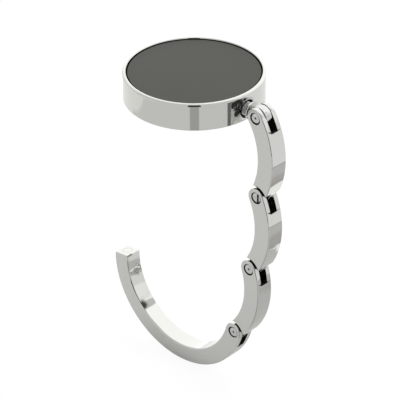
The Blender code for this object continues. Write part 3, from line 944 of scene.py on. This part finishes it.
# %% [markdown]
# ## Hanging each bar from the one above
# Every bar starts where the one above ends, and leans back by what its hinge opens less what the bar bends.
# A geometry tree walks down the chain with a repeat zone, one turn for each hinge above the piece, and then
# moves the piece there. It places links, arm and pins alike, so a bar and its pin can't drift apart.

# %% The hanging tree
FIRST_PIVOT = next(joint["pos_m"] for joint in frame["joints"] if joint["name"] == "hinge_1")

hanging, wires = geometry_tree(
    "hang on the chain",
    [
        ("Hinges above", "Int", 0),
        ("First pivot", "Vector", FIRST_PIVOT),
        ("First lean", "Float", math.radians(FIRST_LEAN)),
        ("Pivot radius", "Float", PIVOT_RADIUS),
        ("Link sweep", "Float", math.radians(LINK_SWEEP)),
        ("Link opening", "Float", math.radians(LINK_OPENING)),
        ("Arm opening", "Float", math.radians(ARM_OPENING)),
        ("Material", "Material", None),
    ],
)
nodes = hanging.node_tree.nodes
start = nodes.new("GeometryNodeRepeatInput")
end = nodes.new("GeometryNodeRepeatOutput")
start.pair_with_output(end)
end.repeat_items.clear()
end.repeat_items.new("VECTOR", "Pivot")
end.repeat_items.new("FLOAT", "Lean")
wires["Hinges above"].into(start, "Iterations")
wires["First pivot"].into(start, "Pivot")
wires["First lean"].into(start, "Lean")
step, pivot, lean = (Wire(hanging, start.outputs[key]) for key in ("Iteration", "Pivot", "Lean"))
# the chord of a bar turns half its sweep away from straight down its first end
chord_turn = lean - 0.5 * wires["Link sweep"] - math.pi / 2
chord = 2 * wires["Pivot radius"] * hanging.math("SINE", 0.5 * wires["Link sweep"])
x = chord * hanging.math("COSINE", chord_turn)
z = chord * hanging.math("SINE", chord_turn)
stride = hanging.node("ShaderNodeCombineXYZ", {"X": x, "Z": z})
hanging.vector("ADD", pivot, stride).into(end, "Pivot")
opening = wires["Link opening"] + (step > 1.5) * (wires["Arm opening"] - wires["Link opening"])
(lean + opening - wires["Link sweep"]).into(end, "Lean")
found_pivot, found_lean = (Wire(hanging, end.outputs[key]) for key in ("Pivot", "Lean"))
turned = hanging.node("ShaderNodeCombineXYZ", {"Y": 0 - found_lean})
sockets = {"Geometry": wires["Geometry"], "Translation": found_pivot, "Rotation": turned}
hung = hanging.node("GeometryNodeTransform", sockets)
placed = store(hanging, hung, "hinge_place", "FLOAT_VECTOR", found_pivot)
leaned = store(hanging, placed, "hinge_lean", "FLOAT", found_lean)
end_tree(hanging, leaned, wires["Material"])


def hang(name, mesh, number, material):
    """A new piece, in its own frame, moved to hinge number 1 to 4."""
    made = new_object(name, mesh.copy())
    run_tree(made, hanging, {"Hinges above": number - 1, "Material": material})
    return made

# %% [markdown]
# The rounding comes last, once a bar hangs in its place. The outer edges keep up to 0.4 mm, as a polished
# zinc casting does, and the edges round a fork about a fifth of it. They draw the thin bright and dark lines
# along the bars. The magnet goes into its pocket in the arm's end the same way.

# %% Hang the bars
BAR_EDGE = 0.0004
MAGNET_ROUND = 0.00008

for number in (1, 2, 3):
    link = hang(f"chain_link_{number}", link_shape, number, link_chrome)
    finished(link, BAR_EDGE, f"link_{number}", f"link_{number}", weighed=True)

arm = hang("hook_bar", arm_shape, 4, arm_chrome)
finished(arm, BAR_EDGE, "hook", "hook_arm", weighed=True)

magnet_outline = button_outline(MAGNET_RADIUS, 0, -MAGNET_LENGTH, MAGNET_ROUND, 30)
magnet_shape = turned_mesh(magnet_outline, MAGNET_STEPS, nickel)
magnet_shape.transform(at_tip)
magnet = hang("closing_magnet", magnet_shape, 4, nickel)
finished(magnet, MAGNET_ROUND / 4, "hook", "tip_magnet")

# %% [markdown]
# ## Hinge pins
# Each pin is a small rivet with a low domed head on the near side. A centre punch has left a dimple in the
# middle of the head, and the second pin's head has a short saw cut beside it. The other end is filed level
# with the ear.

# %% Pins
PIN_RADIUS = 0.00075
HEAD_RADIUS = 0.00125
HEAD_THICKNESS = 0.0005
HEAD_EDGE = 0.00012
HEAD_DROP = 0.00007
DOME_POINTS = 8
DOME_STEP = 0.0001
DIMPLE_RADIUS = 0.00033
DIMPLE_LIP = 0.00004
DIMPLE_DEPTH = 0.00022
PIN_STEPS = 64
PIN_SHIFT = (0.00011, 0, 0.0001)
SAWN_PIN = 2

near = BAR_WIDTH / 2
dome_radii = [DIMPLE_RADIUS + DIMPLE_LIP + n * DOME_STEP for n in range(DOME_POINTS)]
edge = (HEAD_RADIUS - HEAD_EDGE, near - HEAD_DROP - HEAD_EDGE)
pin_outline = [
    (0, near - DIMPLE_DEPTH),
    (DIMPLE_RADIUS / 3, near - DIMPLE_DEPTH * 0.85),
    (DIMPLE_RADIUS, near - HEAD_DROP / 3),
    *((radius, near - HEAD_DROP * (radius / HEAD_RADIUS) ** 2) for radius in dome_radii),
    *arc(edge, HEAD_EDGE, 75, 0, 15),
    (HEAD_RADIUS, near - HEAD_THICKNESS),
    (PIN_RADIUS, near - HEAD_THICKNESS),
    (PIN_RADIUS, -near + HEAD_DROP),
    (PIN_RADIUS - HEAD_DROP, -near),
    (0, -near),
]

pin_shape = along_y(turned_mesh(pin_outline, PIN_STEPS, pin_steel), *UPPER_PIVOT)
# the pins have a little play in their bores, and all four rest against the same side
pin_shape.transform(Matrix.Translation(PIN_SHIFT))
saw_outline = [(SAW_PLACE + x * SAW_WIDTH / 2, z * SAW_LENGTH / 2) for x, z in CORNERS]
saw = plate_mesh(saw_outline, 2 * SAW_DEPTH, -BAR_WIDTH / 2, sawn_steel)
saw.transform(rotation(FIRST_LEAN + LINK_OPENING - LINK_SWEEP, "Y"))
sawn_shape = combine("DIFFERENCE", pin_shape.copy(), saw)
for number, body in enumerate(("link_1", "link_2", "link_3", "hook"), 1):
    shape, material = (sawn_shape, sawn_steel) if number == SAWN_PIN else (pin_shape, pin_steel)
    pin = hang(f"rivet_{number}", shape, number, material)
    finished(pin, HEAD_DROP / 3, body, f"hinge_pin_{number}")

# %% [markdown]
# ## The swivel stud
# The stud is turned from one steel rod: a flange that sits in the rim's recess, a thin neck, a collar, and a
# flat tongue milled on its end for the first link. Its inner end is riveted over a washer inside the disc.
# The turned part comes from the lathe tree and the tongue from an outline, and a union makes them one closed
# solid.

# %% Stud
COLLAR_FRONT = 0.019
COLLAR_RADIUS = 0.0023
FLANGE_BACK = 0.0163
FLANGE_FRONT = 0.01695
FLANGE_RADIUS = 0.0017
SHANK_RADIUS = 0.0011
PEEN_FRONT = 0.01425
PEEN_BACK = 0.01375
PEEN_RADIUS = 0.00155
TONGUE_NECK = 0.00095
TONGUE_TOP = 0.002
STUD_STEPS = 72
STUD_EDGE = 0.00012
TONGUE_SHIFT = -0.00018

stud_outline = [
    (0, COLLAR_FRONT),
    (COLLAR_RADIUS, COLLAR_FRONT),
    (COLLAR_RADIUS, COLLAR_BACK),
    (NECK_RADIUS, COLLAR_BACK),
    (NECK_RADIUS, FLANGE_FRONT),
    (FLANGE_RADIUS, FLANGE_FRONT),
    (FLANGE_RADIUS, FLANGE_BACK),
    (SHANK_RADIUS, FLANGE_BACK),
    (SHANK_RADIUS, PEEN_FRONT),
    (PEEN_RADIUS, PEEN_FRONT),
    (PEEN_RADIUS, PEEN_BACK),
    (0, PEEN_BACK),
]

first_pivot = (FIRST_PIVOT[0], FIRST_PIVOT[2])
nose_start = WEB_ANGLE + FIRST_LEAN + STOP_PLAY
inside = (COLLAR_BACK + COLLAR_FRONT) / 2
neck_end = 180 + math.degrees(math.asin(TONGUE_NECK / EAR_RADIUS))
tongue_outline = [
    (inside, first_pivot[1] - TONGUE_NECK),
    (inside, first_pivot[1] + TONGUE_TOP),
    *arc(first_pivot, EAR_RADIUS, 105, nose_start + NOSE_SPAN - 90, EYE_STEP),
    *nose_outline(first_pivot, -90, nose_start),
    *arc(first_pivot, EAR_RADIUS, nose_start - 90, neck_end - 360, EYE_STEP),
]
turned_part = along_x(turned_mesh(stud_outline, STUD_STEPS, steel))
tongue_part = plate_mesh(tongue_outline, TONGUE_WIDTH, TONGUE_SHIFT, steel)
stud_shape = combine("DIFFERENCE", combine("UNION", turned_part, tongue_part), bore(first_pivot))
stud = new_object("stud_turned", stud_shape)
finished(stud, STUD_EDGE, "swivel", "swivel_stud")

# %% [markdown]
# ## What stays as packed
# The washer and the tape ring lie inside the disc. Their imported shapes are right, so they only get a finish.

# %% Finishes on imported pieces
for name, material in (("stud_washer", steel), ("face_adhesive", tape)):
    kept = frame["nodes"][name]
    kept.data.materials.clear()
    kept.data.materials.append(material)
    print("kept as packed:", name)

# %% [markdown]
# ## The camera
# The camera was found from the photograph: the ellipse of the disc, the pins and the ends of the bars fit
# best with a long lens about 54 cm away, looking down by 32 degrees.

# %% Camera
CAMERA_AZIMUTH = 43.62
CAMERA_ELEVATION = 31.7
CAMERA_ROLL = -0.323
CAMERA_VIEW_DEGREES = 10.232
CAMERA_PLACE = (0.325, -0.3393, 0.261)

camera_data = bpy.data.cameras.new("camera")
camera_data.angle = math.radians(CAMERA_VIEW_DEGREES)
camera_data.clip_start = 0.01
camera = new_object("camera", camera_data)
turned = rotation(CAMERA_AZIMUTH, "Z") @ rotation(90 - CAMERA_ELEVATION, "X") @ rotation(CAMERA_ROLL, "Z")
camera.matrix_world = Matrix.Translation(CAMERA_PLACE) @ turned
bpy.context.scene.camera = camera
print("camera looks along", [round(x, 3) for x in -camera.matrix_world.col[2].to_3d()])

# %% [markdown]
# ## The light tent
# Chrome shows the room. A photographer builds the room round it, and this world is such a room, written as a
# formula of direction: a white tent with a slightly greyer front, a large soft window behind and above, and
# a lit strip low at the rear. Narrow reflections need narrow things, so there are also a bright round panel,
# a door, a side card and a post, and the dark box of the camera with a grey stripe under it. To the camera
# the tent is plain white.

# %% World
TENT_FRONT = 0.81
TENT_BACK = 1
FRONT_AZIMUTH = 27.5
FRONT_EDGE = (0, 0.14)
WINDOW_MIDDLE = (200, 40)
WINDOW_EDGE = (0.42, 0.72)
WINDOW_EXTRA = 0.5
REAR_EDGE = (0.96, 0.995)
REAR_HIGH = 5
REAR_EXTRA = 0.6
PANEL_LEVEL = 1.2
PANEL_MIDDLE = (125, 17)
PANEL_RADII = (7, 11)
DOOR_LEVEL = 0.78
DOOR_MIDDLE = (136, 36)
DOOR_RADII = (4.5, 5.5)
SIDE_CARD_LEVEL = 0.36
SIDE_CARD_SECTOR = (107, 9)
POST_LEVEL = 0.18
POST_SECTOR = (101, 3.2)
STRIPE_LEVEL = 0.5
STRIPE_EDGE = (0.9905, 0.9935)
BOX_LEVEL = 0.05
BOX_HALF_WIDTH = 10
BOX_LOW = -20
BOX_HIGH = 50
HEIGHT_BLUR = 0.01
SIDE_BLUR = 0.001


def direction(azimuth, elevation):
    """The unit vector at this azimuth, counted as the camera's is, and elevation."""
    a, e = math.radians(azimuth), math.radians(elevation)
    return (math.sin(a) * math.cos(e), -math.cos(a) * math.cos(e), math.sin(e))


def cosine(degrees):
    return math.cos(math.radians(degrees))


world = bpy.data.worlds.new("light_tent")
bpy.context.scene.world = world
world.use_nodes = True
world.node_tree.nodes.clear()
tree = Tree(world.node_tree)
looking = tree.node("ShaderNodeTexCoord", output="Generated")
z = looking.axes()[2]
level = tree.math("SQRT", most(1 - z * z, 0.0001))


def toward(azimuth, elevation):
    """The cosine of the angle from a direction."""
    return tree.vector("DOT_PRODUCT", looking, direction(azimuth, elevation), "Value")


def facing(azimuth):
    """The cosine of the angle from an azimuth, seen from above."""
    return toward(azimuth, 0) / level


def above(elevation):
    return z.past(math.sin(math.radians(elevation)), HEIGHT_BLUR)


def sector(azimuth, half_width):
    return facing(azimuth).past(cosine(half_width), SIDE_BLUR)


def disc(middle, radii):
    return toward(*middle).rise(cosine(radii[1]), cosine(radii[0]))


under = 1 - above(BOX_LOW)
tent = TENT_FRONT + (TENT_BACK - TENT_FRONT) * facing(FRONT_AZIMUTH).fall(*FRONT_EDGE)
tent = tent + WINDOW_EXTRA * toward(*WINDOW_MIDDLE).rise(*WINDOW_EDGE)
tent = tent + REAR_EXTRA * facing(CAMERA_AZIMUTH + 180).rise(*REAR_EDGE) * (1 - above(REAR_HIGH))
for mask, value in (
    (disc(PANEL_MIDDLE, PANEL_RADII), PANEL_LEVEL),
    (disc(DOOR_MIDDLE, DOOR_RADII), DOOR_LEVEL),
    (sector(*SIDE_CARD_SECTOR) * under, SIDE_CARD_LEVEL),
    (sector(*POST_SECTOR) * under, POST_LEVEL),
    (facing(CAMERA_AZIMUTH).rise(*STRIPE_EDGE) * under, STRIPE_LEVEL),
    (sector(CAMERA_AZIMUTH, BOX_HALF_WIDTH) * above(BOX_LOW) * (1 - above(BOX_HIGH)), BOX_LEVEL),
):
    tent = tent * (1 - mask) + value * mask
to_eye = tree.node("ShaderNodeLightPath", output="Is Camera Ray")
strength = tent * (1 - to_eye) + to_eye
background = tree.node("ShaderNodeBackground", {"Color": (1, 1, 1, 1), "Strength": strength})
background.into(world.node_tree.nodes.new("ShaderNodeOutputWorld"), "Surface")
print("world nodes:", len(world.node_tree.nodes))

# %% [markdown]
# ## The floor
# The hook stands over a pale table, which the polished faces mirror. Mirrored rays also find what lies on
# it: a grey card and a paler corner behind the hook, white papers with ragged edges, and a board with a
# slanted edge. They also find painted shade on it: a dark band beside one paper, a soft round shadow, the
# shadow of the camera's stand, and a dark ring at the table's edge. Past that ring they go on to the tent. To
# the camera most of the floor's light is plain white, so that only a trace of the shadow is left.

# %% Floor
FLOOR_LEVEL = -0.0786
FLOOR_HALF = 3
FLOOR_WHITE_SHARE = 0.9
FLOOR_WHITE_LEVEL = 1.03
FLOOR_TINT = (0.7, 0.7, 0.695, 1)
TABLE_RADIUS = 0.14
# width of the painted shade ring at the table's edge
TABLE_SHADE_WIDTH = 0.006
CARD_TINT = (0.56, 0.56, 0.555, 1)
CARD_BLUR = 0.004
CORNER_TINT = (0.8, 0.8, 0.795, 1)
CORNER_RIGHT = 0.01
CORNER_FRONT = 0.021
PAPER_TINT = (0.98, 0.98, 0.975, 1)
PAPER_RIGHT = 0.048
PAPER_FRONT = 0.04

# painted shade: a dark band beside the right paper's edge
SHADOW_BAND_RIGHT = 0.056
SHADOW_BAND_SHARE = 0.7
# painted shadow: a soft round dark spot on the table
SHADOW_SPOT_TINT = (0.46, 0.44, 0.44, 1)
SHADOW_SPOT_PLACE = (0.061, 0.055)
SHADOW_SPOT_RADIUS = 0.026
SHADE_TINT = (0.38, 0.38, 0.38, 1)
# painted shadow of the camera's stand on the table
STAND_SHADOW_HALF_WIDTH = 0.026
STAND_SHADOW_START = 0.022
BOARD_TINT = (0.69, 0.69, 0.685, 1)
BOARD_PALE_TINT = (0.84, 0.84, 0.83, 1)
BOARD_START = -0.088
BOARD_SIDE = -0.058
BOARD_EDGE_AZIMUTH = -64
BOARD_EDGE_REACH = 0.1525
BOARD_BLUR = 0.0015
RAGGED_SCALE = 180
RAGGEDNESS = 0.012
SHARP = 0.001
SOFT = 0.003

constants = {"Roughness": 0.9, "Specular IOR Level": 0.2}
table, tree, shader, point = new_material("pale_table", constants)
x, y, _ = point.axes()
ragged = RAGGEDNESS * (noise(point, RAGGED_SCALE) - 0.5)
behind = y.rise(0, CARD_BLUR)
corner = y.past(CORNER_FRONT, SHARP) * (1 - x.past(CORNER_RIGHT, SOFT))
left_paper = behind * x.fall(-SOFT, 0)
on_paper = (y + ragged).past(PAPER_FRONT, SHARP)
right_of = (x + ragged).past(PAPER_RIGHT, SHARP)
# Painted shade: a dark band beside the right paper's edge.
shadow_band = on_paper * right_of * (x + ragged).fall(SHADOW_BAND_RIGHT - SOFT, SHADOW_BAND_RIGHT)
# Painted shadow: a soft round dark spot, seen only in mirrored rays.
shadow_spot = distance(x - SHADOW_SPOT_PLACE[0], y - SHADOW_SPOT_PLACE[1]).fall(SHADOW_SPOT_RADIUS / 5, SHADOW_SPOT_RADIUS)
ahead = direction(CAMERA_AZIMUTH, 0)
# Painted shadow: a dark strip on the table toward the camera, from its stand.
stand_shadow = (x * ahead[0] + y * ahead[1]).rise(STAND_SHADOW_START, STAND_SHADOW_START + CARD_BLUR)
aside = abs(x * ahead[1] - y * ahead[0])
stand_shadow = stand_shadow * aside.fall(STAND_SHADOW_HALF_WIDTH - SOFT, STAND_SHADOW_HALF_WIDTH)
reach = distance(x, y)
# Painted shade: a dark ring at the table's edge.
edge_shade = reach.rise(TABLE_RADIUS - TABLE_SHADE_WIDTH, TABLE_RADIUS)
ahead = direction(BOARD_EDGE_AZIMUTH, 0)
beyond = (x * ahead[0] + y * ahead[1]).past(BOARD_EDGE_REACH, BOARD_BLUR)
beyond = most(beyond, y.past(BOARD_SIDE, SOFT))
board = (x < BOARD_START) * (y < 0)
seen = FLOOR_TINT
for mask, colour in (
    (behind, CARD_TINT),
    (corner, CORNER_TINT),
    (left_paper, PAPER_TINT),
    (shadow_spot, SHADOW_SPOT_TINT),
    (on_paper * (1 - right_of), PAPER_TINT),
    (most(stand_shadow, edge_shade, SHADOW_BAND_SHARE * shadow_band), SHADE_TINT),
    (board, tint(beyond, BOARD_TINT, BOARD_PALE_TINT)),
):
    seen = tint(mask, seen, colour)
past_edge = reach.rise(TABLE_RADIUS, TABLE_RADIUS + SHARP) * (1 - board)

to_eye = tree.node("ShaderNodeLightPath", output="Is Camera Ray")
mirrored = to_eye.also("Is Glossy Ray")
tint(mirrored, FLOOR_TINT, seen).into(shader, "Base Color")
white = tree.node("ShaderNodeEmission", {"Color": (1, 1, 1, 1), "Strength": FLOOR_WHITE_LEVEL})
lit = Wire(tree, shader.outputs["BSDF"])
near = tree.node("ShaderNodeMixShader", {0: to_eye * FLOOR_WHITE_SHARE, 1: lit, 2: white})
clear = tree.node("ShaderNodeBsdfTransparent")
whole = tree.node("ShaderNodeMixShader", {0: past_edge * mirrored, 1: near, 2: clear})
whole.into(table.node_tree.nodes["Material Output"], "Surface")
print("floor nodes:", len(table.node_tree.nodes))

floor_mesh = bpy.data.meshes.new("floor")
floor_corners = [(x * FLOOR_HALF, y * FLOOR_HALF, FLOOR_LEVEL) for x, y in CORNERS]
floor_mesh.from_pydata(floor_corners, [], [(0, 1, 2, 3)])
floor_mesh.materials.append(table)
new_object("floor", floor_mesh)

# %% [markdown]
# ## One soft lamp
# The tent's light has no direction. One wide lamp above the back left corner adds a little, enough to shade
# the inlay and the pad. It is hidden from mirrored rays, because the tent's window stands for it there.

# %% Lamp and display settings
LAMP_POWER = 0.6
LAMP_SIZE = 0.5
LAMP_DISTANCE = 0.6
LAMP_MIDDLE = (200, 55)

lamp_data = bpy.data.lights.new("window_lamp", "AREA")
lamp_data.shape = "DISK"
lamp_data.size = LAMP_SIZE
lamp_data.energy = LAMP_POWER
lamp = new_object("window_lamp", lamp_data)
lamp_place = Vector(direction(*LAMP_MIDDLE)) * LAMP_DISTANCE
lamp.matrix_world = Matrix.Translation(lamp_place) @ lamp_place.to_track_quat("Z", "Y").to_matrix().to_4x4()
lamp.visible_glossy = False
bpy.context.scene.view_settings.view_transform = "Standard"
